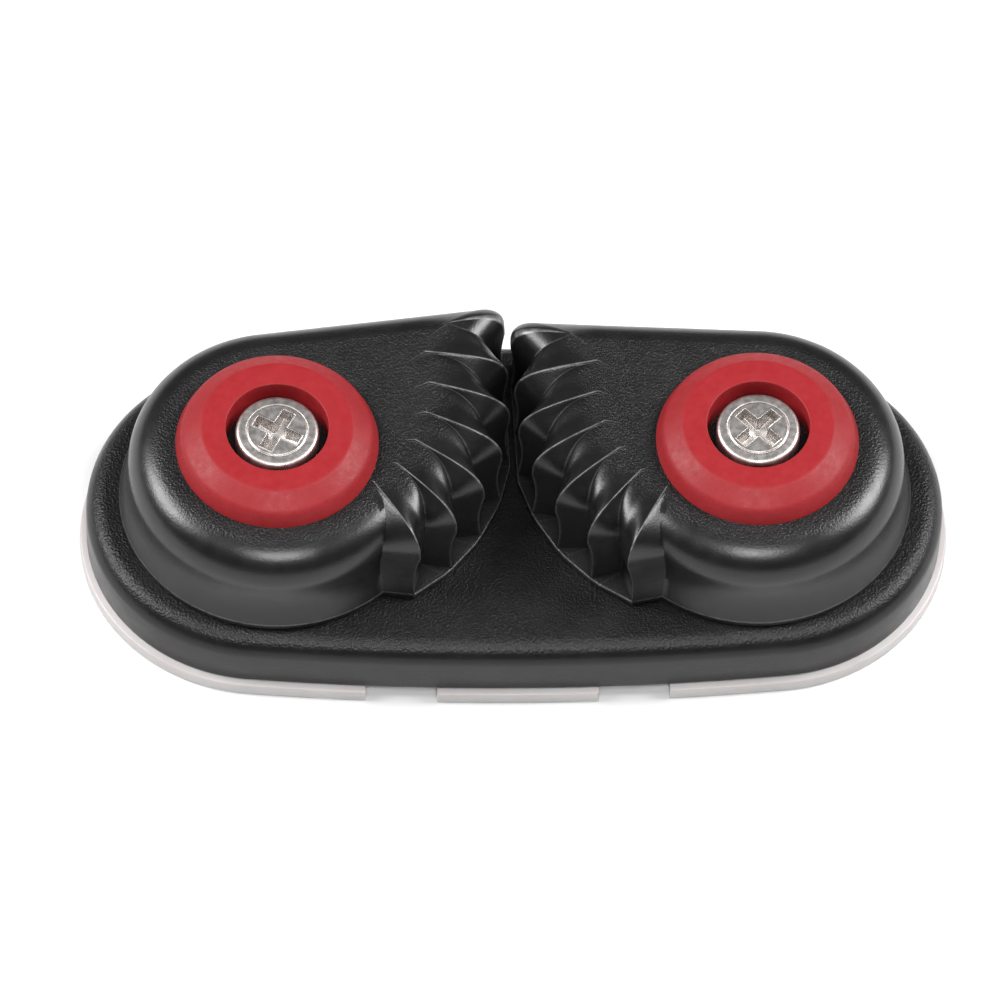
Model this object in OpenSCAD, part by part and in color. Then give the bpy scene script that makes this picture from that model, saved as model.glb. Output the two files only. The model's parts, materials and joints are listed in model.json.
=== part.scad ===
// Twin-cam rope cleat with ball-bearing cams on an obround deck base.
// Millimetres, +Z up, origin on the deck under the middle of the cleat.
// The rope runs along Y. Its load pulls towards -Y, where the cams open into a V.

/* [Base] */
// Distance between the two mounting screws
hole_spacing = 38; // [37.8:0.1:39]
// Radius of the base's rounded ends
base_end_r = 14.05; // [13.9:0.05:14.4]
// How far each long side bulges past the ends, which also sets their distance
base_bulge = 0.96; // [0.94:0.01:1]
// Thickness of the base
base_h = 5; // [4.6:0.1:6]
// Radius of the base's rounded top edge
base_edge_r = 1.7; // [0.8:0.1:1.7]
// Thickness of the pad under the base
pad_t = 1.3; // [1:0.1:2]
// How far the pad shows past the base
pad_margin = 0.5; // [0.2:0.1:0.8]

/* [Cams] */
// Gap between the base and a cam
cam_gap = 0.3; // [0.2:0.1:0.4]
// Height of a cam
cam_h = 7.7; // [7.6:0.1:7.8]
// Height of the rounded top edge of a cam
cam_round_h = 3; // [2.4:0.1:3.4]
// Radius of the smooth hub of a cam below its rounded edge
hub_r = 11.8; // [11.5:0.1:12]
// Radius of the first ridge, next to the hub
ridge_r = 14.5; // [14:0.05:14.5]
// Growth of the ridge radius for each radian
spiral_rate = 0.3; // [0.27:0.01:0.3]
// Distance from one ridge to the next
ridge_pitch = 3.9; // [3.8:0.05:4]
// Depth of the teeth between two ridges
tooth_depth = 2.1; // [1.2:0.1:2.2]
// Turn of both cams at rest, as one rolls on the other
rest_turn = 2.2; // [-2:0.2:2.2]

/* [Bearings] */
// Radius of the cam's bore, which the balls run in
bore_r = 7.3; // [7.2:0.1:7.5]
// Radius of a bearing ball
ball_r = 1.07; // [1.04:0.01:1.09]
// Balls in one row
ball_count = 14; // [8:1:15]

/* [Caps and screws] */
// Outer radius of a cap
cap_r = 8.06; // [7.9:0.02:8.2]
// Height of a cap's rim and flat top above its underside
cap_h = 1.9; // [1.7:0.1:2.2]
// Radius of the counterbore in a cap
cap_hole_r = 4.06; // [3.7:0.02:4.3]
// Radius of a screw head
head_r = 3.32; // [3:0.02:3.5]
// Radius over the threads of a screw
thread_r = 1.75; // [1.7:0.05:1.8]
// Length of thread below the deck
thread_length = 11; // [8:1:20]

/* [Hidden] */
$fn = 72;

pivot_x = hole_spacing / 2;
cut = 0.1; // how far a cutter runs past the face it cuts

// Heights above the deck
base_top_z = pad_t + base_h;
cam_z = base_top_z + cam_gap;
cam_top_z = cam_z + cam_h;
cam_mid_z = cam_top_z - cam_round_h;
cap_gap = 0.35;
cap_z = cam_top_z + cap_gap;
cap_top_z = cap_z + cap_h;
boss_h = 0.75; // how far a cap's boss reaches down into the cam
boss_z = cap_z - boss_h;
post_drop = 0.1; // from a cap's boss down to the top of its post
cap_floor = 0.5; // plastic between a cap's boss and the seat of its screw
seat_z = boss_z + cap_floor;
head_drop = 0.4; // from a cap's flat top down to the screw head
head_top_z = cap_top_z - head_drop;

// Base outline: two end arcs joined by two long shallow side arcs, all tangent. The seams between them lie
// along the longest side of a right triangle in whole numbers, so that both arcs meet them exactly.
seam = [21, 220, 221];
end_x = seam[0] * base_bulge;
side_y = seam[1] * base_bulge;
side_r = seam[2] * base_bulge + base_end_r;
half_w = base_end_r + base_bulge;
wedge_reach = 0.1;
disc_sides = 144;
side_sides = 1080;
cap_sides = 96;
small_sides = 24;

// Pad notches, which run out past the pad's edge by notch_out
notch_from = 6.4;
notch_w = 5.7;
notch_depth = 1.6;
notch_out = 1.6;
notch_x = notch_from + notch_w / 2;
notch_y = half_w + pad_margin + (notch_out - notch_depth) / 2;
pad_edge_r = 0.2;

// Posts, races and balls
post_r = 4.2;
post_hole_r = 2;
post_root = 1; // how far a post starts above the underside of the base
race_gap = 0.05;
ball_gap = 0.03; // between a ball and each part it rolls on
race_r = bore_r - 2 * (ball_r + ball_gap);
race_flange_gap = 0.3; // between a race's flange and the cam's bore
race_flange_r = bore_r - race_flange_gap;
race_flange_t = 0.55;
ball_path_r = (race_r + bore_r) / 2;
boss_inset = 0.1;
boss_r = race_flange_r - boss_inset;
boss_clearance = 0.15;
upper_ball_z = boss_z - boss_clearance - ball_r;
spacer_t = 0.35;
spacer_gap = 0.1;
ball_play = 0.08;
spacer_z = upper_ball_z - ball_r - ball_play - spacer_t;
lower_ball_z = spacer_z - ball_play - ball_r;
flange_top_z = lower_ball_z - ball_r - ball_gap;
shoulder_z = flange_top_z - race_flange_t;
shoulder_r = race_r;

// How far each screw's cross recess is turned
left_recess_a = 61;
right_recess_a = 46;

// Springs
wire_r = 0.25;
coil_r = ball_path_r;
coil_turns = 2;
coil_under_gap = 0.15;
coil_over_gap = 0.2;
coil_z = base_top_z + coil_under_gap + wire_r;
coil_rise = shoulder_z - coil_over_gap - wire_r - coil_z;
wire_sides = 8;
coil_step_a = 15;
spring_a = 120; // bearing of the spring's tail and arm from the pivot
spring_hole_r = 0.4;
spring_tail = 1.3;
spring_hole_play = 0.2; // depth of a spring's hole below its tail
spring_hole_h = spring_tail + spring_hole_play;
spring_arm = 5;
spring_slot_w = 0.9;
spring_slot_play = 0.6; // length of a spring's slot beyond its arm

// Cams, written for the left one, whose toothed face looks towards +X
last_ridge = 6;
first_ridge_a = -41.5;
flank_a = [3.4, 3.4, 3.4, 3, 2.2, 2.2]; // turn from each ridge to the valley before it
ridge_run = 6.1; // how far ridge 0 runs in over the rounded edge
ridge_run_step = 0.12; // how much less each further ridge runs in
ridge_sweep = 13; // turn of a ridge's top from its foot
valley_top_a = 1; // turn from a ridge's top to the top of its valley
scallop = 0.8; // how far the top's outline bulges between two ridges
low_sweep = -2.6; // turn of the bottom of the teeth
waist = 0.3; // how far the side is drawn in halfway down
lip_h = 0.5; // height of the lip along the bottom
lip_edge = 0.02; // height over which the lip steps out
lip_out = 0.05;
clear_x = 18.75; // the lip stays within this of the pivot, clear of the other cam
hub_flare = 0.7; // how far the hub's side flares out at the bottom
hub_low_r = hub_r + hub_flare;
hub_round = 2.8; // how far the hub's top edge rolls in
hub_end_a = 312;
hub_fan_a = 285;
hub_step_a = 7;
back_a = 95;
back_xs = [12, 8, 4];
flank_steps = 3;
round_steps = 5;
wall_steps = 3;
spiral_sin = spiral_rate / sqrt(1 + spiral_rate * spiral_rate);
degrees = 180 / PI;

// How full the rounded top edge is: 1 is a quarter ellipse, and less is squarer. Each ridge stands proud of
// the rolled edge as a fin, which sinks back into it over fin_reach of the way to the next valley.
hub_edge = 1;
tooth_edge = 0.55;
nose_edge = 0.7;
fin_reach = 0.5;
valley_bow = 0.6; // how far a valley bows towards its ridge on the way down

// The last ridge ends at the cam's nose
nose_mid = [18.8, 11.6];
nose_valley = [17.2, 9.5];
nose_top = [14.2, 10.85];
nose_valley_top = [14.2, 10.65];
nose_r = 1.2;
nose_low_out = 0.3; // how far the nose's corner flares out at the bottom
nose_low_back = 0.35; // how far it is set back from the other cam there
nose_from_a = 10;
nose_step_a = 20;
nose_top_reach = 1.5; // how far along the back the nose's top edge blends into the back's

function polar(r, a) = [r * cos(a), r * sin(a)];
function blend(p, q, t) = p * (1 - t) + q * t;

// Radius and angle of ridge k, and the radius of the spiral that the ridges lie on
function crest_r(k) = ridge_r + k * ridge_pitch * spiral_sin;
function crest_a(k) = first_ridge_a + degrees * ln(crest_r(k) / ridge_r) / spiral_rate;
function spiral_r(a) = ridge_r * exp(spiral_rate * (a - first_ridge_a) / degrees);

// A column of the cam's side is [mid, top, low, lip, edge, bow]. mid lies under the rounded edge, top on the
// flat top, low and lip at the bottom lip, all in plan. edge is the fullness, and bow the sideways bow from
// top to mid.
straight = [0, 0];
function turned(p, a) = [p[0] * cos(a) - p[1] * sin(a), p[0] * sin(a) + p[1] * cos(a)];
function bow(top, mid) = turned(mid - top, 90) * valley_bow / norm(mid - top);
function clear(p) = [min(p[0], clear_x), p[1]];
function eased(t) = t >= 1 ? 1 : t * t * (3 - 2 * t);
function ridge_top_r(k) = crest_r(k) - ridge_run + ridge_run_step * k;
function ridge_top(k, turn) = polar(ridge_top_r(k), crest_a(k) + ridge_sweep - turn);
function crest_column(k) = [
    polar(crest_r(k), crest_a(k)),
    ridge_top(k, 0),
    clear(polar(crest_r(k), crest_a(k) + low_sweep)),
    clear(polar(crest_r(k) + lip_out, crest_a(k) + low_sweep)),
    tooth_edge,
    straight
];
function valley_column(k) = k == last_ridge ? nose_valley_column : let (
    a = crest_a(k) - flank_a[k],
    mid = polar(spiral_r(a) - tooth_depth, a),
    top = ridge_top(k, valley_top_a)
) [
    mid,
    top,
    polar(spiral_r(a) - tooth_depth, a + low_sweep),
    clear(polar(spiral_r(a) + lip_out, a + low_sweep)),
    hub_edge,
    bow(top, mid)
];
nose_lip_r = norm(nose_mid) + lip_out;
nose_crest_column = [
    nose_mid,
    nose_top,
    clear(turned(nose_mid, low_sweep)),
    clear(turned(nose_mid, low_sweep) * nose_lip_r / norm(nose_mid)),
    nose_edge,
    straight
];
nose_valley_column = [
    nose_valley,
    nose_valley_top,
    turned(nose_valley, low_sweep),
    clear(turned(nose_valley, low_sweep) * nose_lip_r / norm(nose_valley)),
    nose_edge,
    straight
];
function flank_column(k, t) = let (
    from = crest_column(k),
    to = valley_column(k + 1),
    top = blend(from[1], to[1], t)
) [
    blend(from[0], to[0], t),
    top * (1 + 4 * t * (1 - t) * scallop / norm(top)),
    blend(from[2], to[2], t),
    blend(from[3], to[3], t),
    blend(from[4], to[4], eased(t / fin_reach)),
    blend(from[5], to[5], t)
];

// The hub's top edge fans out towards the first ridge between hub_fan_a and hub_end_a
fan_turn = crest_a(0) + ridge_sweep - valley_top_a + 360 - hub_end_a;
hub_top_r = hub_r - hub_round;
function hub_column(a) = let (
    f = max(0, (a - hub_fan_a) / (hub_end_a - hub_fan_a)),
    mid = polar(hub_r, a),
    top = polar(blend(hub_top_r, ridge_top_r(0), f), a + fan_turn * f * f)
) [
    mid,
    top,
    polar(hub_low_r, a + low_sweep * f),
    polar(hub_low_r + lip_out, a + low_sweep * f),
    hub_edge,
    bow(top, mid) * f
];

// Back wall: a straight line tangent to the hub, from the nose's round corner
back_dir = polar(1, back_a - 90);
back_out = polar(1, back_a);
function back_point(x, r) = let (s = (x - r * back_out[0]) / back_dir[0]) r * back_out + s * back_dir;
nose_centre = back_point(nose_mid[0] - nose_r, hub_r - nose_r);
nose_top_end = back_point(nose_top[0] - nose_top_reach, hub_top_r);
function nose_column(a) = let (low = nose_centre + polar(nose_r + nose_low_out, a) - [nose_low_back, 0]) [
    nose_centre + polar(nose_r, a),
    blend(nose_top, nose_top_end, a / back_a),
    clear(low),
    clear(low + polar(lip_out, a)),
    blend(nose_edge, hub_edge, a / back_a),
    straight
];
function back_column(x) = [
    back_point(x, hub_r),
    back_point(x, hub_top_r),
    back_point(x, hub_low_r),
    back_point(x, hub_low_r + lip_out),
    hub_edge,
    straight
];

function tooth_columns(k) = concat(
    [crest_column(k)],
    [for (i = [1:flank_steps]) flank_column(k, i / (flank_steps + 1))],
    [valley_column(k + 1)]
);
cam_columns = concat(
    [for (k = [0:last_ridge - 1]) each tooth_columns(k)],
    [nose_crest_column],
    [for (a = [nose_from_a:nose_step_a:back_a]) nose_column(a)],
    [for (x = back_xs) back_column(x)],
    [for (a = [back_a:hub_step_a:hub_end_a]) hub_column(a)]
);

// Rows of a cam's side from the top down: the rounded edge, the wall, and the top and bottom of the lip
wall_row = round_steps + wall_steps;
function row_t(row) = (row - round_steps) / wall_steps;
function wall_point(c, t) = let (p = blend(c[0], c[2], t)) p * (1 - waist * sin(180 * t) / norm(p));
function edge_point(c, t) = blend(c[1], c[0], t) + c[5] * 4 * t * (1 - t);
function row_point(c, row) =
    row <= round_steps ? edge_point(c, pow(sin(90 * row / round_steps), c[4]))
    : row < wall_row ? wall_point(c, row_t(row))
    : row == wall_row ? c[2] : c[3];
function row_height(c, row) =
    row == 0 ? cam_top_z
    : row < round_steps ? cam_mid_z + cam_round_h * pow(cos(90 * row / round_steps), c[4])
    : row <= wall_row ? blend(cam_mid_z, cam_z + lip_h, row_t(row))
    : row == wall_row + 1 ? cam_z + lip_h - lip_edge : cam_z;

module side_walls(rows, count) {
    points = [for (row = [0:rows - 1], c = cam_columns)
        let (p = row_point(c, row)) [p[0], p[1], row_height(c, row)]];
    walls = [for (row = [0:rows - 2], i = [0:count - 1])
        let (a = row * count + i, b = row * count + (i + 1) % count)
            each [[a, b, b + count], [a, b + count, a + count]]];
    top = [[for (i = [count - 1:-1:0]) i]];
    bottom = [[for (i = [0:count - 1]) (rows - 1) * count + i]];
    polyhedron(points, concat(walls, top, bottom), convexity = 6);
}

module cam(turn) {
    difference() {
        rotate([0, 0, turn]) side_walls(wall_row + 3, len(cam_columns));
        translate([0, 0, cam_z - cut]) cylinder(r = bore_r, h = cam_h + 2 * cut);
        rotate([0, 0, spring_a])
            translate([coil_r - spring_slot_w / 2, 0, cam_z - cut])
                cube([spring_slot_w, spring_arm + spring_slot_play, shoulder_z - cam_z]);
    }
}

// Spring wire, as [point, bearing]: up a tail in the base, round the coil, and out along a straight arm
function at_bearing(a, along, z) = [coil_r * cos(a) - along * sin(a), coil_r * sin(a) + along * cos(a), z];
bend_r = 0.8;
bend_step_a = 22.5;
coil_to_a = 360 * coil_turns;
wire_path = concat(
    [for (i = [0:2]) [at_bearing(0, 0, blend(base_top_z - spring_tail, coil_z - bend_r, i / 2)), 0]],
    [for (b = [bend_step_a:bend_step_a:90])
        [at_bearing(0, bend_r * (1 - cos(b)), coil_z - bend_r * (1 - sin(b))), 0]],
    [for (a = [coil_step_a:coil_step_a:coil_to_a]) [at_bearing(a, 0, coil_z + coil_rise * a / coil_to_a), a]],
    [for (i = [1:3]) [at_bearing(coil_to_a, spring_arm * i / 3, coil_z + coil_rise), coil_to_a]]
);
function wire_ring(i) = let (
    last = len(wire_path) - 1,
    ahead = wire_path[min(i + 1, last)][0] - wire_path[max(i - 1, 0)][0],
    out = [cos(wire_path[i][1]), sin(wire_path[i][1]), 0],
    across = cross(ahead, out) / norm(cross(ahead, out))
) [for (j = [0:wire_sides - 1]) let (b = 360 * j / wire_sides)
    wire_path[i][0] + wire_r * (cos(b) * out + sin(b) * across)];

module spring() {
    last = len(wire_path) - 1;
    points = [for (i = [0:last]) each wire_ring(i)];
    sides = [for (i = [0:last - 1], j = [0:wire_sides - 1])
        let (a = i * wire_sides + j, b = i * wire_sides + (j + 1) % wire_sides)
            each [[a, b + wire_sides, b], [a, a + wire_sides, b + wire_sides]]];
    start = [[for (j = [0:wire_sides - 1]) j]];
    end = [[for (j = [wire_sides - 1:-1:0]) last * wire_sides + j]];
    rotate([0, 0, spring_a]) polyhedron(points, concat(sides, start, end), convexity = 8);
}

// Half-profile of a disc with a rounded top edge
module edge_profile(r, h, edge) {
    square([r - edge, h]);
    square([r, h - edge]);
    translate([r - edge, h - edge]) intersection() {
        circle(r = edge);
        square(edge);
    }
}
module edge_disc(r, h, edge, sides) {
    rotate_extrude($fn = sides) edge_profile(r, h, edge);
}

// The wedge of the base between the seams of one long side, height h
module side_wedge(h) {
    far_x = end_x * (1 + wedge_reach);
    far_y = side_y * wedge_reach;
    translate([0, 0, -cut]) linear_extrude(h + 2 * cut)
        polygon([[-end_x, 0], [end_x, 0], [far_x, far_y], [-far_x, far_y]]);
}

// The obround base shape, grown outwards by margin: two end sectors and two shallow side sectors
module obround(margin, h, edge) {
    for (turn = [0, 180]) rotate([0, 0, turn]) {
        difference() {
            translate([end_x, 0, 0]) edge_disc(base_end_r + margin, h, edge, disc_sides);
            side_wedge(h);
            rotate([0, 0, 180]) side_wedge(h);
        }
        intersection() {
            translate([0, -side_y, 0]) edge_disc(side_r + margin, h, edge, side_sides);
            side_wedge(h);
        }
    }
}

module base() {
    color("#1c1c1e")
        difference() {
            union() {
                translate([0, 0, pad_t]) obround(0, base_h, base_edge_r);
                for (s = [-1, 1]) translate([s * pivot_x, 0, pad_t + post_root]) {
                    cylinder(r = shoulder_r, h = shoulder_z - pad_t - post_root);
                    cylinder(r = post_r, h = boss_z - post_drop - pad_t - post_root);
                }
            }
            for (s = [-1, 1]) translate([s * pivot_x, 0, 0]) {
                translate([0, 0, pad_t - cut]) cylinder(r = post_hole_r, h = cap_z);
                mirror([s > 0 ? 1 : 0, 0, 0]) rotate([0, 0, spring_a])
                    translate([coil_r, 0, base_top_z - spring_hole_h])
                        cylinder(r = spring_hole_r, h = spring_hole_h + cut, $fn = small_sides);
            }
        }
}

module mounting_pad() {
    color("#dcdcda")
        difference() {
            obround(pad_margin, pad_t, pad_edge_r);
            for (s = [-1, 1]) {
                translate([s * pivot_x, 0, -cut]) cylinder(r = post_hole_r, h = pad_t + 2 * cut);
                for (t = [-1, 1]) translate([s * notch_x, t * notch_y, pad_t / 2])
                    cube([notch_w, notch_depth + notch_out, pad_t + 2 * cut], center = true);
            }
        }
}

// A cap: bevelled rim over the cam, a boss down to the race, and a seat for the screw head
module cap() {
    rim_h = 0.3;
    bevel = 0.75;
    flat_r = 6;
    flat_edge = [0.25, 0.08];
    rotate_extrude($fn = cap_sides) difference() {
        union() {
            polygon([
                [post_hole_r, cap_z], [cap_r, cap_z], [cap_r, cap_z + rim_h],
                [cap_r - bevel, cap_top_z - bevel], [flat_r + flat_edge[0], cap_top_z - flat_edge[1]],
                [flat_r, cap_top_z], [post_hole_r, cap_top_z]
            ]);
            translate([post_hole_r, boss_z]) square([boss_r - post_hole_r, cap_z - boss_z + cut]);
        }
        translate([-cut, seat_z]) square([cap_hole_r + cut, cap_top_z - seat_z + cut]);
    }
}

// A pan-head cross-recess screw, which also fixes the cleat to the deck
module screw(turn) {
    head_edge_r = 0.3;
    shank_r = 1.45;
    tip_h = 3;
    tip_r = 0.2;
    slot_w = 0.95;
    recess_r = 1.95;
    recess_bottom_r = 0.6;
    recess_h = 1.1;
    difference() {
        union() {
            translate([0, 0, seat_z]) edge_disc(head_r, head_top_z - seat_z, head_edge_r, disc_sides);
            translate([0, 0, -cut]) cylinder(r = shank_r, h = seat_z + 2 * cut);
            translate([0, 0, tip_h - thread_length]) cylinder(r = thread_r, h = thread_length - tip_h);
            translate([0, 0, -thread_length]) cylinder(r1 = tip_r, r2 = thread_r, h = tip_h);
        }
        intersection() {
            translate([0, 0, head_top_z - recess_h])
                cylinder(r1 = recess_bottom_r, r2 = recess_r, h = recess_h + cut);
            for (a = [turn, turn + 90]) rotate([0, 0, a])
                translate([-recess_r, -slot_w / 2, head_top_z - recess_h])
                    cube([2 * recess_r, slot_w, recess_h + cut]);
        }
    }
}

// The sleeve that the balls roll on, with a flange under the lower row
module bearing_race() {
    difference() {
        union() {
            translate([0, 0, shoulder_z]) cylinder(r = race_r, h = boss_z - shoulder_z);
            translate([0, 0, shoulder_z]) cylinder(r = race_flange_r, h = race_flange_t);
        }
        translate([0, 0, shoulder_z - cut]) cylinder(r = post_r + race_gap, h = cam_h);
    }
}

module balls(z) {
    for (i = [0:ball_count - 1]) rotate([0, 0, 360 * i / ball_count])
        translate([ball_path_r, 0, z]) sphere(r = ball_r, $fn = small_sides);
}

module ball_spacer() {
    translate([0, 0, spacer_z]) difference() {
        cylinder(r = bore_r - spacer_gap, h = spacer_t);
        translate([0, 0, -cut]) cylinder(r = race_r + spacer_gap, h = spacer_t + 2 * cut);
    }
}

module left() { translate([-pivot_x, 0, 0]) children(); }
module right() { mirror([1, 0, 0]) left() children(); }

module left_cam() { color("#202022") left() cam(rest_turn); }
module right_cam() { color("#202022") right() cam(-rest_turn); }
module left_cap() { color("#b83a40") left() cap(); }
module right_cap() { color("#b83a40") right() cap(); }
module left_screw() { color("silver") left() screw(left_recess_a); }
module right_screw() { color("silver") right() screw(right_recess_a); }
module left_bearing_race() { color("lightgrey") left() bearing_race(); }
module right_bearing_race() { color("lightgrey") right() bearing_race(); }
module left_upper_balls() { color("white") left() balls(upper_ball_z); }
module right_upper_balls() { color("white") right() balls(upper_ball_z); }
module left_lower_balls() { color("white") left() balls(lower_ball_z); }
module right_lower_balls() { color("white") right() balls(lower_ball_z); }
module left_ball_spacer() { color("ivory") left() ball_spacer(); }
module right_ball_spacer() { color("ivory") right() ball_spacer(); }
module left_cam_spring() { color("grey") left() spring(); }
module right_cam_spring() { color("grey") right() spring(); }

base();
mounting_pad();
left_cam();
right_cam();
left_cap();
right_cap();
left_screw();
right_screw();
left_bearing_race();
right_bearing_race();
left_upper_balls();
right_upper_balls();
left_lower_balls();
right_lower_balls();
left_ball_spacer();
right_ball_spacer();
left_cam_spring();
right_cam_spring();
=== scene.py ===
"""The looks of the cam cleat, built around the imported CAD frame. Shapes are in millimetres."""

import json
import math

import bpy
from mathutils import Matrix, Vector


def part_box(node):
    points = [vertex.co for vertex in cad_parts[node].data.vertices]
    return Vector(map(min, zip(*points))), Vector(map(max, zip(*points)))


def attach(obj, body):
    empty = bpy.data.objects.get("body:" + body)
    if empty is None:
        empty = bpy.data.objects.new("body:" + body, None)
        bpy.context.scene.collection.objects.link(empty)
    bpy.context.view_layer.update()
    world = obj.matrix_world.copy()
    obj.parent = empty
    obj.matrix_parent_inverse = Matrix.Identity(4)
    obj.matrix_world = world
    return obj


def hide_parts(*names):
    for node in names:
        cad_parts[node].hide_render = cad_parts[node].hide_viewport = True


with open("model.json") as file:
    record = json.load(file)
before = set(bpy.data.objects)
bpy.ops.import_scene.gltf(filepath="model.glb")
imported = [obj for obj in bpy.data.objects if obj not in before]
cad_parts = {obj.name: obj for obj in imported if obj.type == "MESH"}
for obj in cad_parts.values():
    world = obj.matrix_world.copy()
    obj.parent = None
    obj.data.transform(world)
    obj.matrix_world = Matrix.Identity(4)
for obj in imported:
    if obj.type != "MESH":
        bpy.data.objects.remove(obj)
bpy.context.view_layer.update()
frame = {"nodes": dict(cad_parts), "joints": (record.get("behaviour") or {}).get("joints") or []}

MM = 0.001
PIVOTS = {j["child"]: Vector(j["pos_m"]) for j in frame["joints"]}
SIDES = ("left", "right")
ACROSS = {"left": 1, "right": -1}  # the left side is built as written, and the right one mirrored


def span_z(node):
    """The lowest and highest z of a CAD node, in millimetres."""
    low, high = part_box(node)
    return low.z / MM, high.z / MM


# ---------------------------------------------------------------- sizes, in mm
PAD_Z, PAD_TOP_Z = span_z("mounting_pad")
CAM_Z, CAM_TOP_Z = span_z("left_cam")
CAP_Z, CAP_TOP_Z = span_z("left_cap")  # CAP_Z is the node's lowest point, the underside of its boss
SCREW_TIP_Z, HEAD_TOP_Z = span_z("left_screw")
RACE_Z = span_z("left_bearing_race")[0]
SPRING_Z, SPRING_TOP_Z = span_z("left_cam_spring")
POST_TOP_Z = span_z("base")[1]
CAM_GAP = 0.3
BASE_TOP_Z = CAM_Z - CAM_GAP
CUT = 1  # how far a cutter runs past the face it cuts
PIVOT_X = PIVOTS["right_cam"].x / MM

# Base outline: the arcs meet along the long side of a 21, 220, 221 triangle
SEAM = (21, 220, 221)
BASE_BULGE = 0.96
BASE_END_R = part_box("base")[1].x / MM - SEAM[0] * BASE_BULGE
BASE_EDGE_R = 1.7
PAD_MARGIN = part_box("mounting_pad")[1].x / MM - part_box("base")[1].x / MM
PLATE_INSET = 6  # how far the rings on a plate's flat faces reach in
NOTCH_FROM, NOTCH_W, NOTCH_DEPTH = 6.4, 5.7, 1.6
POST_R, POST_HOLE_R, SHOULDER_R = 4.2, 2.0, 5.1

# Cam, written for the left one, whose toothed face looks towards +X
REST_TURN = 2.2
CAM_ROUND_H = 3.0
CAM_MID_Z = CAM_TOP_Z - CAM_ROUND_H
HUB_R, HUB_LOW_R, HUB_ROUND = 11.8, 12.5, 2.8
RIDGE_R, SPIRAL_RATE, RIDGE_PITCH, TOOTH_DEPTH = 14.5, 0.3, 3.9, 2.1
LAST_RIDGE, FIRST_RIDGE_A, FLANK_A = 6, -41.5, (3.4, 3.4, 3.4, 3.0, 2.2, 2.2)
RIDGE_RUN, RIDGE_RUN_STEP, RIDGE_SWEEP, VALLEY_TOP_A = 6.1, 0.12, 13.0, 1.0
SCALLOP, LOW_SWEEP, WAIST = 0.8, -2.6, 0.3
LIP_H, LIP_OUT, CLEAR_X, LIP_ROUND = 0.5, 0.05, 18.75, 0.12
# The lip and valley weights on the next line are painted highlights, lightening the colour along the lip's edge
# and the valley lines.
SMOOTH_GRAIN, LIP_HIGHLIGHT, VALLEY_HIGHLIGHT = 0.12, 0.3, 0.35
HUB_FAN_A, HUB_END_A, BACK_A = 285.0, 312.0, 95.0
HUB_EDGE, TOOTH_EDGE, NOSE_EDGE, FIN_REACH, VALLEY_BOW = 1.0, 0.55, 0.7, 0.5, 0.6
NOSE_MID, NOSE_VALLEY, NOSE_TOP, NOSE_VALLEY_TOP = (18.8, 11.6), (17.2, 9.5), (14.2, 10.85), (14.2, 10.65)
NOSE_R, NOSE_TOP_REACH, NOSE_LOW_OUT, NOSE_LOW_BACK = 1.2, 1.5, 0.3, 0.35
BORE_R = 7.3
EDGE_STEPS = 22
SPIRAL_SIN = SPIRAL_RATE / math.hypot(1, SPIRAL_RATE)

# Caps, screws and springs
CAP_R, CAP_FLAT_R, CAP_HOLE_R, CAP_BOSS_R, CAP_BOSS_H = 8.06, 6.0, 4.06, 6.9, 0.75
HEAD_R, HEAD_EDGE_R, HEAD_DISC_R = 3.32, 0.36, 2.3
SHANK_R, THREAD_R, THREAD_ROOT_R, THREAD_PITCH = 1.45, 1.75, 1.32, 1.3
RECESS_TURN = {"left": 61.0, "right": 44.0}
# The cap and the screw's seat treat CAP_Z as the underside of the rim, which in CAD lies CAP_BOSS_H higher. So
# the rim starts inside the top of the cam, the boss reaches down among the upper balls, and the seat is too low.
SEAT_Z = CAP_Z - 0.25
CAP_RIM_Z = CAP_Z + 0.35
WIRE_R, COIL_R, COIL_TURNS, COIL_GAP, SPRING_A = 0.25, 6.2, 2, 0.15, 120.0


# ---------------------------------------------------------------- mesh helpers
def polar(r, a):
    return Vector((r * math.cos(math.radians(a)), r * math.sin(math.radians(a))))


def smoothstep(low, high, x):
    t = min(1.0, max(0.0, (x - low) / (high - low)))
    return t * t * (3 - 2 * t)


def steps(low, high, count):
    return [low + (high - low) * i / count for i in range(count + 1)]


def make_piece(name, points, faces, attributes=None, sharp=None):
    """A mesh object from points in millimetres, smooth but for edges sharper than sharp degrees."""
    mesh = bpy.data.meshes.new(name)
    mesh.from_pydata([Vector(p) * MM for p in points], [], faces)
    mesh.validate()
    for key, values in (attributes or {}).items():
        layer = mesh.attributes.new(key, "FLOAT", "POINT")
        layer.data.foreach_set("value", values)
    piece = bpy.data.objects.new(name, mesh)
    bpy.context.scene.collection.objects.link(piece)
    shade(piece, sharp)
    return piece


def shade(piece, sharp):
    mesh = piece.data
    mesh.polygons.foreach_set("use_smooth", [True] * len(mesh.polygons))
    if sharp:
        mesh.set_sharp_from_angle(angle=math.radians(sharp))


def rings(rows, count):
    """Quads between rows of count points each, every row a closed ring."""
    faces = []
    for row in range(rows - 1):
        for i in range(count):
            a, b = row * count + i, row * count + (i + 1) % count
            faces.append((a, b, b + count, a + count))
    return faces


def round_corners(corners):
    """Turns a list of (r, z, radius) corners into a profile whose corners are arcs of that radius."""
    arc_steps = 6
    profile = []
    for i, (x, z, radius) in enumerate(corners):
        here = Vector((x, z))
        if radius == 0 or i in (0, len(corners) - 1):
            profile.append(here)
            continue
        before = (Vector(corners[i - 1][:2]) - here).normalized()
        after = (Vector(corners[i + 1][:2]) - here).normalized()
        half = before.angle(after) / 2
        reach = radius / math.tan(half)
        centre = here + (before + after).normalized() * radius / math.sin(half)
        start, end = here + before * reach - centre, here + after * reach - centre
        for t in steps(0, 1, arc_steps):
            profile.append(centre + (start * (1 - t) + end * t).normalized() * radius)
    return profile


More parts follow.
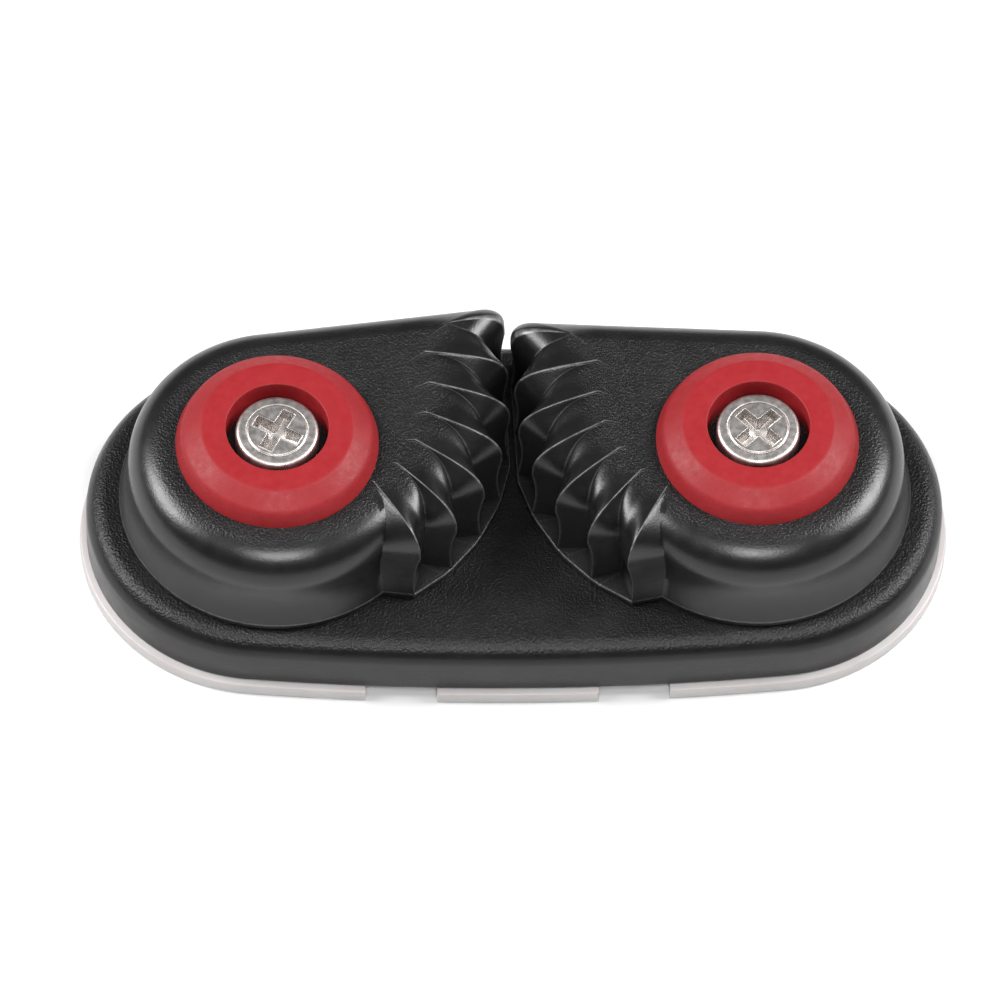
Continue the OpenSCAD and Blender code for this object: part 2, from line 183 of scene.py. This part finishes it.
def close_rings(rows, count):
    """Quads from the last row of points back to the first."""
    last = (rows - 1) * count
    return [(last + i, last + (i + 1) % count, (i + 1) % count, i) for i in range(count)]


def end_caps(rows, count):
    """The faces that close the first and the last row of points."""
    last = (rows - 1) * count
    return [tuple(range(count - 1, -1, -1)), tuple(range(last, last + count))]


def circle(r, z, sides, centre):
    """Points round a circle of radius r about centre (x, y) at height z."""
    turns = [2 * math.pi * i / sides for i in range(sides)]
    return [(centre[0] + r * math.cos(a), centre[1] + r * math.sin(a), z) for a in turns]


def lathe(name, profile, sides, centre, sharp):
    """Turns a closed (r, z) profile round the vertical axis through centre (x, y)."""
    points = [point for p in profile for point in circle(p.x, p.y, sides, centre)]
    faces = rings(len(profile), sides) + close_rings(len(profile), sides)
    return make_piece(name, points, faces, sharp=sharp)


def cylinder(r, low, high, centre, sides=96):
    """A plain closed cylinder, used only to cut or join."""
    points = circle(r, low, sides, centre) + circle(r, high, sides, centre)
    return make_piece("tool", points, rings(2, sides) + end_caps(2, sides))


def block(low, high):
    """A plain closed box, used only to cut."""
    points = [(x, y, z) for z in (low[2], high[2]) for x, y in
              ((low[0], low[1]), (high[0], low[1]), (high[0], high[1]), (low[0], high[1]))]
    return make_piece("tool", points, rings(2, 4) + end_caps(2, 4))


def combine(piece, tools, operation, sharp):
    """Joins the tools to the piece or cuts them from it, and keeps only the result."""
    for tool in tools:
        modifier = piece.modifiers.new("combine", "BOOLEAN")
        modifier.operation, modifier.solver, modifier.object = operation, "EXACT", tool
    bpy.context.view_layer.update()
    result = bpy.data.meshes.new_from_object(piece.evaluated_get(bpy.context.evaluated_depsgraph_get()))
    piece.modifiers.clear()
    piece.data = result
    for tool in tools:
        bpy.data.objects.remove(tool)
    shade(piece, sharp)


def place(piece, body, material, slot, *nodes):
    piece.data.materials.clear()
    piece.data.materials.append(material)
    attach(piece, body)
    if nodes:
        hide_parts(*nodes)


# ---------------------------------------------------------------- material helpers
class Shader:
    """A Principled material with short calls for the nodes that feed it."""

    def __init__(self, name, color, roughness, metallic=0.0, **sockets):
        self.material = bpy.data.materials.new(name)
        self.material.use_nodes = True
        self.tree = self.material.node_tree
        self.shader = self.tree.nodes["Principled BSDF"]
        self.set("Base Color", (*color, 1))
        self.set("Roughness", roughness)
        self.set("Metallic", metallic)
        for key, value in sockets.items():
            self.set(key.replace("_", " "), value)
        self.coords = self.tree.nodes.new("ShaderNodeTexCoord").outputs["Object"]

    def set(self, socket, value):
        self.shader.inputs[socket].default_value = value

    def link(self, output, socket):
        self.tree.links.new(output, self.shader.inputs[socket])

    def noise(self, size_mm, detail=3.0, roughness=0.5):
        node = self.tree.nodes.new("ShaderNodeTexNoise")
        node.inputs["Scale"].default_value = 1 / (size_mm * MM)
        node.inputs["Detail"].default_value = detail
        node.inputs["Roughness"].default_value = roughness
        self.tree.links.new(self.coords, node.inputs["Vector"])
        return node.outputs["Fac"]

    def pebbles(self, size_mm):
        node = self.tree.nodes.new("ShaderNodeTexVoronoi")
        node.feature = "SMOOTH_F1"
        node.inputs["Scale"].default_value = 1 / (size_mm * MM)
        node.inputs["Smoothness"].default_value = 0.6
        self.tree.links.new(self.coords, node.inputs["Vector"])
        return node.outputs["Distance"]

    def attribute(self, name):
        node = self.tree.nodes.new("ShaderNodeAttribute")
        node.attribute_name = name
        return node.outputs["Fac"]

    def math(self, operation, a, b):
        node = self.tree.nodes.new("ShaderNodeMath")
        node.operation = operation
        for socket, value in zip(node.inputs, (a, b)):
            if isinstance(value, (int, float)):
                socket.default_value = value
            else:
                self.tree.links.new(value, socket)
        return node.outputs["Value"]

    def spread(self, value, low, high):
        """Maps the middle of a noise's range to the range from low to high."""
        node = self.tree.nodes.new("ShaderNodeMapRange")
        for socket, number in (("From Min", 0.3), ("From Max", 0.7), ("To Min", low), ("To Max", high)):
            node.inputs[socket].default_value = number
        self.tree.links.new(value, node.inputs["Value"])
        return node.outputs["Result"]

    def mix(self, factor, a, b):
        node = self.tree.nodes.new("ShaderNodeMix")
        node.data_type = "RGBA"
        self.tree.links.new(factor, node.inputs["Factor"])
        for socket, value in ((node.inputs[6], a), (node.inputs[7], b)):
            if isinstance(value, tuple):
                socket.default_value = (*value, 1)
            else:
                self.tree.links.new(value, socket)
        return node.outputs[2]

    def bump(self, height, depth_mm, under=None):
        node = self.tree.nodes.new("ShaderNodeBump")
        node.inputs["Distance"].default_value = depth_mm * MM
        node.inputs["Strength"].default_value = 1.0
        self.tree.links.new(height, node.inputs["Height"])
        if under:
            self.tree.links.new(under, node.inputs["Normal"])
        return node.outputs["Normal"]


def moulded_black(name, specular):
    """Satin black nylon. Its grain follows the mesh's own attributes, and so does the lightening of its colour
    for wear and painted highlights.
    """
    s = Shader(name, (0.005, 0.005, 0.0053), 0.4, Specular_IOR_Level=specular)
    grain, wear_and_highlight = s.attribute("grain"), s.attribute("wear_and_highlight")
    cloudy = s.mix(s.spread(s.noise(3.5), 0, 1), (0.0035, 0.0035, 0.0037), (0.007, 0.0067, 0.007))
    # Lighter colour where the mesh marks wear and painted highlights: thin bright lines along the crests, the
    # valleys and the lip's edge.
    wear_and_highlight_mask = s.math("MULTIPLY", wear_and_highlight, s.spread(s.noise(0.5), 0.35, 1.0))
    s.link(s.mix(wear_and_highlight_mask, cloudy, (0.2, 0.19, 0.19)), "Base Color")
    pebbled = s.math("MULTIPLY", s.math("ADD", s.pebbles(0.2), s.noise(0.15, 5, 0.65)), grain)
    fine = s.bump(s.noise(0.09, 2), 0.003)
    s.link(s.bump(pebbled, 0.045, under=fine), "Normal")
    s.link(s.math("ADD", s.spread(s.noise(1.2), 0.27, 0.33), s.math("MULTIPLY", grain, 0.06)), "Roughness")
    return s.material


def moulded_red():
    s = Shader("cap_plastic", (0.22, 0.01, 0.013), 0.5, Specular_IOR_Level=0.25)
    s.link(s.mix(s.spread(s.noise(0.9, 4), 0, 1), (0.21, 0.009, 0.012), (0.23, 0.012, 0.015)), "Base Color")
    s.link(s.spread(s.noise(0.6), 0.44, 0.58), "Roughness")
    s.link(s.bump(s.noise(0.16, 3), 0.012), "Normal")
    return s.material


def stainless(name):
    """Machined stainless steel, a little mottled."""
    s = Shader(name, (0.6, 0.57, 0.55), 0.3, metallic=1.0)
    s.link(s.mix(s.spread(s.noise(0.9, 4), 0, 1), (0.45, 0.42, 0.4), (0.59, 0.56, 0.54)), "Base Color")
    s.link(s.spread(s.noise(0.5, 4), 0.38, 0.5), "Roughness")
    s.link(s.bump(s.noise(0.25, 4), 0.008), "Normal")
    return s.material


def pale_pad():
    s = Shader("pad_plastic", (0.42, 0.4, 0.4), 0.35, Subsurface_Weight=0.2, Subsurface_Scale=0.002)
    s.link(s.mix(s.spread(s.noise(6), 0, 1), (0.4, 0.38, 0.38), (0.44, 0.425, 0.425)), "Base Color")
    s.link(s.spread(s.noise(1.0), 0.3, 0.45), "Roughness")
    s.link(s.bump(s.noise(0.3, 3), 0.006), "Normal")
    return s.material


def acetal(name, color, roughness):
    s = Shader(name, color, roughness, Subsurface_Weight=0.1, Subsurface_Scale=0.001)
    darker = tuple(c * 0.9 for c in color)
    s.link(s.mix(s.spread(s.noise(0.8), 0, 1), darker, color), "Base Color")
    s.link(s.spread(s.noise(0.4), roughness * 0.8, roughness * 1.2), "Roughness")
    s.link(s.bump(s.noise(0.2, 3), 0.003), "Normal")
    return s.material


def studio_floor():
    s = Shader("studio_floor", (0.66, 0.66, 0.66), 0.7)
    s.link(s.mix(s.spread(s.noise(40), 0, 1), (0.655, 0.655, 0.655), (0.665, 0.665, 0.665)), "Base Color")
    return s.material


# ---------------------------------------------------------------- base and pad
def obround(margin):
    """The outline of the base grown outwards by margin, anticlockwise from the +X end."""
    count = 48
    end_x, side_y = SEAM[0] * BASE_BULGE, SEAM[1] * BASE_BULGE
    side_r = SEAM[2] * BASE_BULGE + BASE_END_R
    side_a = math.degrees(math.atan2(SEAM[0], SEAM[1]))
    end = [polar(BASE_END_R + margin, a) + Vector((end_x, 0)) for a in steps(side_a - 90, 90 - side_a, count)]
    side = [polar(side_r + margin, a) - Vector((0, side_y)) for a in steps(90 - side_a, 90 + side_a, count)]
    half = end + side[1:-1]
    return half + [-p for p in half]


def outline_plate(name, profile):
    """A plate whose edge is an (inset, z) profile, from the middle of its underside to that of its top."""
    outlines = [[(p.x, p.y, z) for p in obround(-inset)] for inset, z in profile]
    count = len(outlines[0])
    faces = rings(len(outlines), count) + end_caps(len(outlines), count)
    return make_piece(name, [p for outline in outlines for p in outline], faces)


def set_grain(piece, low_z, high_z):
    """Grain that fades from full at high_z to slight at low_z, and no wear or painted highlight."""
    least = 0.15
    heights = [v.co.z / MM for v in piece.data.vertices]
    grain = [least + (1 - least) * smoothstep(low_z, high_z, z) for z in heights]
    for key, values in (("grain", grain), ("wear_and_highlight", [0.0] * len(heights))):
        layer = piece.data.attributes.get(key) or piece.data.attributes.new(key, "FLOAT", "POINT")
        layer.data.foreach_set("value", values)


def build_base(material):
    wall_z = BASE_TOP_Z - BASE_EDGE_R
    edge = [(BASE_EDGE_R * (1 - math.cos(math.radians(a))), wall_z + BASE_EDGE_R * math.sin(math.radians(a)))
            for a in steps(0, 90, 14)]
    profile = [(PLATE_INSET, PAD_TOP_Z), (0.3, PAD_TOP_Z), (0.12, PAD_TOP_Z + 0.04), (0.04, PAD_TOP_Z + 0.12),
               (0, PAD_TOP_Z + 0.3)]
    profile += edge + [(2.4, BASE_TOP_Z), (4, BASE_TOP_Z), (8, BASE_TOP_Z)]
    base = outline_plate("base_body", profile)
    centres = [(-PIVOT_X, 0), (PIVOT_X, 0)]
    post_root = PAD_TOP_Z + 1
    combine(base, [cylinder(r, post_root, top, c) for c in centres
                   for r, top in ((SHOULDER_R, RACE_Z), (POST_R, POST_TOP_Z))], "UNION", None)
    combine(base, [cylinder(POST_HOLE_R, PAD_Z - CUT, CAP_TOP_Z, c, 64) for c in centres], "DIFFERENCE", 35)
    set_grain(base, wall_z + BASE_EDGE_R / 2, BASE_TOP_Z)
    place(base, "base", material, "base_plastic", "base")


def build_pad(material):
    soft = 0.15
    profile = [(PLATE_INSET, PAD_Z), (soft, PAD_Z), (0, PAD_Z + soft), (0, PAD_TOP_Z - soft),
               (soft / 3, PAD_TOP_Z - soft / 3), (soft, PAD_TOP_Z), (PLATE_INSET, PAD_TOP_Z)]
    profile = [(inset - PAD_MARGIN, z) for inset, z in profile]
    pad = outline_plate("pad_body", profile)
    half_w = BASE_END_R + BASE_BULGE + PAD_MARGIN
    cutters = [cylinder(POST_HOLE_R, PAD_Z - CUT, PAD_TOP_Z + CUT, (s * PIVOT_X, 0), 64) for s in (-1, 1)]
    for s in (-1, 1):
        left = min(s * NOTCH_FROM, s * (NOTCH_FROM + NOTCH_W))
        for low, high in ((-half_w - CUT, -half_w + NOTCH_DEPTH), (half_w - NOTCH_DEPTH, half_w + CUT)):
            cutters.append(block((left, low, PAD_Z - CUT), (left + NOTCH_W, high, PAD_TOP_Z + CUT)))
    combine(pad, cutters, "DIFFERENCE", 35)
    place(pad, "base", material, "pad_plastic", "mounting_pad")


# ---------------------------------------------------------------- cams
def crest_r(k):
    return RIDGE_R + k * RIDGE_PITCH * SPIRAL_SIN


def crest_a(k):
    return FIRST_RIDGE_A + math.degrees(math.log(crest_r(k) / RIDGE_R)) / SPIRAL_RATE


def spiral_r(a):
    return RIDGE_R * math.exp(SPIRAL_RATE * math.radians(a - FIRST_RIDGE_A))


def ridge_top(k, turn):
    """Where ridge k starts on the flat top."""
    return polar(crest_r(k) - RIDGE_RUN + RIDGE_RUN_STEP * k, crest_a(k) + RIDGE_SWEEP - turn)


def crest_column(k):
    """The column of a cam's side at ridge k. A column holds its points below the rounded edge, on the flat
    top, at the bottom and on the lip, then how full the edge is (1 is a quarter ellipse, less is squarer),
    and the column's bow."""
    if k == LAST_RIDGE:
        return nose_ridge_column(NOSE_MID, NOSE_TOP)
    r, a = crest_r(k), crest_a(k)
    low, lip = polar(r, a + LOW_SWEEP), polar(r + LIP_OUT, a + LOW_SWEEP)
    return [polar(r, a), ridge_top(k, 0), clear(low), clear(lip), TOOTH_EDGE, Vector((0, 0))]


def clear(p):
    """Keeps a point of the lip clear of the other cam."""
    return Vector((min(p.x, CLEAR_X), p.y))


def bow(top, mid):
    """How far a column bows sideways on its way over the rounded edge."""
    along = (mid - top).normalized()
    return Vector((-along.y, along.x)) * VALLEY_BOW


def valley_column(k):
    if k == LAST_RIDGE:
        return nose_ridge_column(NOSE_VALLEY, NOSE_VALLEY_TOP)
    a = crest_a(k) - FLANK_A[k]
    r = spiral_r(a)
    mid, top = polar(r - TOOTH_DEPTH, a), ridge_top(k, VALLEY_TOP_A)
    low, lip = polar(r - TOOTH_DEPTH, a + LOW_SWEEP), polar(r + LIP_OUT, a + LOW_SWEEP)
    return [mid, top, low, clear(lip), HUB_EDGE, bow(top, mid)]


def nose_ridge_column(mid, top):
    low = Matrix.Rotation(math.radians(LOW_SWEEP), 2) @ Vector(mid)
    lip = low.normalized() * (Vector(NOSE_MID).length + LIP_OUT)
    return [Vector(mid), Vector(top), clear(low), clear(lip), NOSE_EDGE, Vector((0, 0))]


def blend_columns(p, q, t):
    return [a * (1 - t) + b * t for a, b in zip(p, q)]


def long_flank(k, t):
    """The long flank from crest k to valley k + 1, bulged where it rolls over the top edge."""
    column = blend_columns(crest_column(k), valley_column(k + 1), t)
    column[1] *= 1 + 4 * t * (1 - t) * SCALLOP / column[1].length
    sunk = smoothstep(0, FIN_REACH, t)
    column[4] = crest_column(k)[4] * (1 - sunk) + valley_column(k + 1)[4] * sunk
    return column


def hub_column(a):
    """A column of the hub, whose edge fans out towards the first ridge."""
    f = max(0.0, (a - HUB_FAN_A) / (HUB_END_A - HUB_FAN_A))
    fan_turn = crest_a(0) + RIDGE_SWEEP - VALLEY_TOP_A + 360 - HUB_END_A
    top_r = HUB_R - HUB_ROUND
    low_a = a + LOW_SWEEP * f
    mid, top = polar(HUB_R, a), polar(top_r + (crest_r(0) - RIDGE_RUN - top_r) * f, a + fan_turn * f * f)
    return [mid, top, polar(HUB_LOW_R, low_a), polar(HUB_LOW_R + LIP_OUT, low_a), HUB_EDGE, bow(top, mid) * f]


def back_point(x, r):
    """A point at x on the straight back wall, which is tangent to a hub of radius r."""
    out, along = polar(1, BACK_A), polar(1, BACK_A - 90)
    return out * r + along * ((x - r * out.x) / along.x)


def back_column(x):
    return [back_point(x, HUB_R), back_point(x, HUB_R - HUB_ROUND), back_point(x, HUB_LOW_R),
            back_point(x, HUB_LOW_R + LIP_OUT), HUB_EDGE, Vector((0, 0))]


def nose_column(a):
    """A column of the nose's round corner."""
    centre = back_point(NOSE_MID[0] - NOSE_R, HUB_R - NOSE_R)
    t = a / BACK_A
    low = centre + polar(NOSE_R + NOSE_LOW_OUT, a) - Vector((NOSE_LOW_BACK, 0))
    top = Vector(NOSE_TOP) * (1 - t) + back_point(NOSE_TOP[0] - NOSE_TOP_REACH, HUB_R - HUB_ROUND) * t
    edge = NOSE_EDGE + (HUB_EDGE - NOSE_EDGE) * t
    return [centre + polar(NOSE_R, a), top, clear(low), clear(low + polar(LIP_OUT, a)), edge, Vector((0, 0))]


def cam_columns():
    """(column, wear and painted highlight along its upper part) all round the cam."""
    near, flank = 0.03, 14
    columns = []
    for k in range(LAST_RIDGE):
        # A crest's weight of 1 is partly wear and partly a painted highlight along the crest line.
        columns.append((crest_column(k), 1.0))
        columns += [(long_flank(k, t), 0.0) for t in steps(near, 1 - near, flank)]
        valley, crest = valley_column(k + 1), crest_column(k + 1)
        # The valley's weight is a painted highlight, a thin lighter line along the valley.
        columns.append((valley, VALLEY_HIGHLIGHT))
        columns += [(blend_columns(valley, crest, t), 0.0) for t in steps(0.08, 0.92, 6)]
    columns.append((crest_column(LAST_RIDGE), 1.0))
    columns += [(nose_column(a), 0.0) for a in steps(6, BACK_A - 4, 20)]
    columns += [(back_column(x), 0.0) for x in steps(12.2, -0.5, 15)]
    columns += [(hub_column(a), 0.0) for a in steps(BACK_A, HUB_END_A, 88)]
    columns += [(blend_columns(hub_column(HUB_END_A), crest_column(0), t), 0.0) for t in steps(0.04, 0.96, 8)]
    return columns


def cam_rows(column):
    """(point, height, grain, wear and painted highlight) down one column, from the flat top to the underside."""
    mid, top, low, lip, edge, bowed = column
    rows = []
    for b in steps(0, 90, EDGE_STEPS):
        t = math.sin(math.radians(b)) ** edge
        drop = 1 - max(0.0, math.cos(math.radians(b))) ** edge
        rows.append((top + (mid - top) * t + bowed * 4 * t * (1 - t), CAM_TOP_Z - CAM_ROUND_H * drop,
                     1 - (1 - SMOOTH_GRAIN) * smoothstep(0.0, 0.4, t), 0.0))
    low_z = CAM_Z + LIP_H
    for t in steps(0, 1, 14)[1:]:
        p = mid + (low - mid) * t
        p = p * (1 - WAIST * math.sin(math.pi * t) / p.length)
        rows.append((p, CAM_MID_Z + (low_z - CAM_MID_Z) * t, SMOOTH_GRAIN, 0.0))
    step = lip - low
    out = step.normalized() if step.length > 0.001 else Vector((0, 0))
    # The lip's weights in these rows paint a highlight along the lip's edge.
    for inset, drop, wear_and_highlight in ((LIP_ROUND, 0.0, 0.0), (0.05, 0.02, LIP_HIGHLIGHT), (0.0, 0.08, LIP_HIGHLIGHT),
                              (0.0, 0.2, 0.0), (0.0, LIP_H, 0.0)):
        rows.append((lip - out * min(inset, step.length * 0.9), low_z - drop, 0.6, wear_and_highlight))
    return rows


def side_rows(columns):
    """The rows of the cam's side, with each column's wear and painted highlight fading out below the upper part.
    """
    sides = [cam_rows(c) for c, _ in columns]
    rows = []
    for r in range(len(sides[0])):
        fade = 1.0 if r <= EDGE_STEPS * 0.7 else 0.25
        rows.append([(*s[r][:3], max(s[r][3], w * fade)) for s, (_, w) in zip(sides, columns)])
    return rows


def fill(edge, z, grain, inward):
    """Rows from the outline of a row in to the bore, at height z."""
    outline = [e[0] for e in edge]
    return [[(p * (1 - t) + p.normalized() * BORE_R * t, z, grain, 0.0) for p in outline] for t in inward]


def bore_row(edge, grow, z):
    return [(p.normalized() * (BORE_R + grow), z, 0.2, 0.0) for p, *_ in edge]


def cam_rings(columns):
    """All the rows of a cam, from the bore's top edge over the outside and back up the bore."""
    chamfer = 0.15
    side = side_rows(columns)
    top = fill(side[0], CAM_TOP_Z, 1.0, (0.97, 0.75, 0.5, 0.25))
    bottom = fill(side[-1], CAM_Z, 0.3, (0.3, 0.7, 0.97))
    bore_edge = bore_row(side[0], chamfer * 0.3, CAM_TOP_Z - chamfer * 0.3)
    bore = [bore_row(side[0], 0, CAM_Z + chamfer), bore_row(side[0], 0, CAM_TOP_Z - chamfer)]
    return [bore_edge] + top + side + bottom + bore


def build_cam(side, material):
    columns = cam_columns()
    rows = cam_rings(columns)
    pivot = PIVOTS[side + "_cam"] / MM
    across = ACROSS[side]
    turn = Matrix.Rotation(math.radians(across * REST_TURN), 2)
    points, grain, wear_and_highlight = [], [], []
    for p, z, g, w in (entry for row in rows for entry in row):
        q = turn @ p
        points.append((pivot.x + across * q.x, q.y, z))
        grain.append(g)
        wear_and_highlight.append(w)
    faces = rings(len(rows), len(columns)) + close_rings(len(rows), len(columns))
    if across > 0:
        faces = [tuple(reversed(f)) for f in faces]
    cam = make_piece(side + "_cam_body", points, faces, {"grain": grain, "wear_and_highlight": wear_and_highlight}, sharp=50)
    place(cam, side + "_cam", material, "cam_plastic", side + "_cam")


# ---------------------------------------------------------------- caps, screws and springs
def build_cap(side, material):
    boss_z = CAP_Z - CAP_BOSS_H
    corners = [(POST_HOLE_R, SEAT_Z, 0), (CAP_HOLE_R, SEAT_Z, 0.1), (CAP_HOLE_R, CAP_TOP_Z, 0.1),
               (CAP_FLAT_R, CAP_TOP_Z, 0.7), (CAP_R - 0.5, CAP_TOP_Z - 1.05, 1.2), (CAP_R, CAP_RIM_Z, 0.25),
               (CAP_R, CAP_Z, 0.08), (CAP_BOSS_R, CAP_Z, 0.08), (CAP_BOSS_R, boss_z, 0.08),
               (POST_HOLE_R, boss_z, 0)]
    centre = (-ACROSS[side] * PIVOT_X, 0)
    cap = lathe(side + "_cap_body", round_corners(corners)[::-1], 192, centre, sharp=45)
    place(cap, "base", material, "cap_plastic", side + "_cap")


def recess_depth(x, y):
    """How far the cross recess dips below the screw head at (x, y), with a slight burr round its edge."""
    arm, reach, core = 0.5, 1.95, 0.78
    arms = min(max(abs(x) - reach, abs(y) - arm), max(abs(y) - reach, abs(x) - arm))
    edge = min(arms, (abs(x) + abs(y)) * math.sqrt(0.5) - core)
    floor = 1.6 - 0.3 * math.hypot(x, y)
    burr = 0.03 * max(0.0, 1 - abs(edge - 0.05) / 0.07)
    return floor * smoothstep(0.02, -0.14, edge) - burr


def head_profile():
    """(r, z) rows of the head from its middle to the shank, with a raised disc and a soft outer edge."""
    disc_h, dome, groove = 0.06, 0.1, 0.04
    rows = []
    for r in steps(0.02, HEAD_R - HEAD_EDGE_R, 96):
        z = HEAD_TOP_Z - dome * (r / HEAD_R) ** 2 - disc_h * smoothstep(HEAD_DISC_R, HEAD_DISC_R + 0.1, r)
        z -= groove * max(0.0, 1 - abs(r - HEAD_DISC_R - 0.12) / 0.1)
        rows.append((r, z))
    edge = Vector((HEAD_R - HEAD_EDGE_R, rows[-1][1] - HEAD_EDGE_R))
    rows += [tuple(edge + polar(HEAD_EDGE_R, 90 - b)) for b in steps(0, 90, 8)[1:]]
    return rows + [(HEAD_R, SEAT_Z + 0.1), (HEAD_R - 0.08, SEAT_Z), (SHANK_R + 0.1, SEAT_Z),
                   (SHANK_R, SEAT_Z - 0.1), (SHANK_R, 0.3)]


def thread_radius(z, a):
    """The thread's radius at height z and bearing a, running out to the point and at the deck face."""
    phase = (z / THREAD_PITCH - a / 360) % 1
    tooth = max(0.0, 1 - abs(phase - 0.5) / 0.32)
    tip_h = 3
    tip = min(1.0, (z - SCREW_TIP_Z) / tip_h)
    root = THREAD_ROOT_R * tip
    return root + (THREAD_R - THREAD_ROOT_R) * tooth * min(1.0, tip * 1.6) * smoothstep(0, -0.3, z)


def build_screw(side, material):
    centre = Vector((-ACROSS[side] * PIVOT_X, 0))
    sides = 216
    bearings = [360 * i / sides for i in range(sides)]
    points = []
    for r, z in head_profile():
        for a in bearings:
            p = polar(r, a - RECESS_TURN[side])
            points.append((*(polar(r, a) + centre), z - (recess_depth(p.x, p.y) if r < HEAD_DISC_R else 0)))
    for z in steps(0, SCREW_TIP_Z + 0.05, 110):
        points += [(*(polar(max(0.02, thread_radius(z, a)), a) + centre), z) for a in bearings]
    rows = len(points) // sides
    faces = [tuple(reversed(f)) for f in rings(rows, sides) + end_caps(rows, sides)]
    screw = make_piece(side + "_screw_body", points, faces, sharp=60)
    place(screw, "base", material, "screw_steel", side + "_screw")


def wire_path():
    """(x, y, z, bearing) along the spring: up its tail, round the coil and out along its arm."""
    bend_r, arm = 0.8, 5.0
    coil_z = BASE_TOP_Z + COIL_GAP + WIRE_R
    rise = SPRING_TOP_Z - WIRE_R - coil_z

    def at(a, along, z):
        p = polar(COIL_R, a) + polar(along, a + 90)
        return (p.x, p.y, z, a)

    path = [at(0, 0, z) for z in steps(SPRING_Z, coil_z - bend_r, 4)]
    path += [at(0, bend_r * (1 - math.cos(math.radians(b))), coil_z - bend_r * (1 - math.sin(math.radians(b))))
             for b in steps(0, 90, 8)[1:]]
    path += [at(a, 0, coil_z + rise * a / (360 * COIL_TURNS)) for a in steps(0, 360 * COIL_TURNS, 144)[3:]]
    return path + [at(360 * COIL_TURNS, arm * t, coil_z + rise) for t in steps(0, 1, 6)[1:]]


def build_spring(side, material):
    sides = 16
    path = wire_path()
    across = ACROSS[side]
    turn = Matrix.Rotation(math.radians(SPRING_A), 3, "Z")
    points = []
    for i, (x, y, z, bearing) in enumerate(path):
        ahead = Vector(path[min(i + 1, len(path) - 1)][:3]) - Vector(path[max(i - 1, 0)][:3])
        out = polar(1, bearing).to_3d()
        up = ahead.cross(out).normalized()
        for j in range(sides):
            b = 2 * math.pi * j / sides
            q = turn @ (Vector((x, y, z)) + (out * math.cos(b) + up * math.sin(b)) * WIRE_R)
            points.append((across * (q.x - PIVOT_X), q.y, q.z))
    faces = rings(len(path), sides) + end_caps(len(path), sides)
    if across > 0:
        faces = [tuple(reversed(f)) for f in faces]
    spring = make_piece(side + "_spring_wire", points, faces, sharp=50)
    place(spring, "base", material, "spring_steel", side + "_cam_spring")


# ---------------------------------------------------------------- studio
def add_floor():
    half = 1.5
    corners = [(-half, -half, 0), (half, -half, 0), (half, half, 0), (-half, half, 0)]
    mesh = bpy.data.meshes.new("studio_floor")
    mesh.from_pydata(corners, [], [(0, 1, 2, 3)])
    floor = bpy.data.objects.new("studio_floor", mesh)
    mesh.materials.append(studio_floor())
    bpy.context.scene.collection.objects.link(floor)


def add_camera():
    """A long lens looking down at the front of the cleat."""
    azimuth, elevation, roll = math.radians(-3.2), math.radians(56.79), math.radians(2.33)
    target, distance = Vector((-1.28, -2.32, 9.3)) * MM, 0.8
    level = math.cos(elevation)
    back = Vector((math.sin(azimuth) * level, -math.cos(azimuth) * level, math.sin(elevation)))
    right = (-back).cross(Vector((0, 0, 1))).normalized()
    up = right.cross(-back)
    right, up = right * math.cos(roll) + up * math.sin(roll), up * math.cos(roll) - right * math.sin(roll)
    camera = bpy.data.objects.new("camera", bpy.data.cameras.new("camera"))
    camera.data.lens, camera.data.sensor_width, camera.data.clip_start = 362.6, 36.0, 0.01
    facing = Matrix((right, up, back)).transposed().to_4x4()
    camera.matrix_world = Matrix.Translation(target + back * distance) @ facing
    bpy.context.scene.collection.objects.link(camera)
    bpy.context.scene.camera = camera


def add_softbox(name, place_at, size, power):
    """A square soft light that faces the cleat."""
    light = bpy.data.lights.new(name, "AREA")
    light.shape, light.size, light.energy = "SQUARE", size, power
    box = bpy.data.objects.new(name, light)
    box.location = place_at
    box.rotation_euler = (-Vector(place_at)).to_track_quat("-Z", "Y").to_euler()
    bpy.context.scene.collection.objects.link(box)


def add_world(strength):
    world = bpy.data.worlds.new("studio")
    world.use_nodes = True
    background = world.node_tree.nodes["Background"]
    background.inputs["Color"].default_value = (1, 1, 1, 1)
    background.inputs["Strength"].default_value = strength
    bpy.context.scene.world = world


def finish_frame_nodes():
    """Gives the CAD nodes that stay, the bearings, their finished materials."""
    steel = stainless("race_steel")
    ball = acetal("ball_plastic", (0.85, 0.84, 0.8), 0.2)
    spacer = acetal("spacer_plastic", (0.82, 0.78, 0.66), 0.45)
    materials = {"bearing_race": steel, "upper_balls": ball, "lower_balls": ball, "ball_spacer": spacer}
    for side in SIDES:
        for node, material in materials.items():
            mesh = frame["nodes"][f"{side}_{node}"].data
            mesh.materials.clear()
            mesh.materials.append(material)


build_base(moulded_black("base_plastic", 0.32))
build_pad(pale_pad())
cam_black = moulded_black("cam_plastic", 0.48)
cap_red = moulded_red()
screw_steel = stainless("screw_steel")
spring_steel = stainless("spring_steel")
for side in SIDES:
    build_cam(side, cam_black)
    build_cap(side, cap_red)
    build_screw(side, screw_steel)
    build_spring(side, spring_steel)
finish_frame_nodes()

add_floor()
add_camera()
add_world(0.08)
add_softbox("front_light", (0.0, -0.42, 0.68), 0.3, 4.5)
add_softbox("left_light", (-0.58, 0.1, 0.5), 0.38, 8.0)
add_softbox("right_light", (0.58, 0.1, 0.5), 0.38, 8.0)
bpy.context.scene.view_settings.view_transform = "Standard"
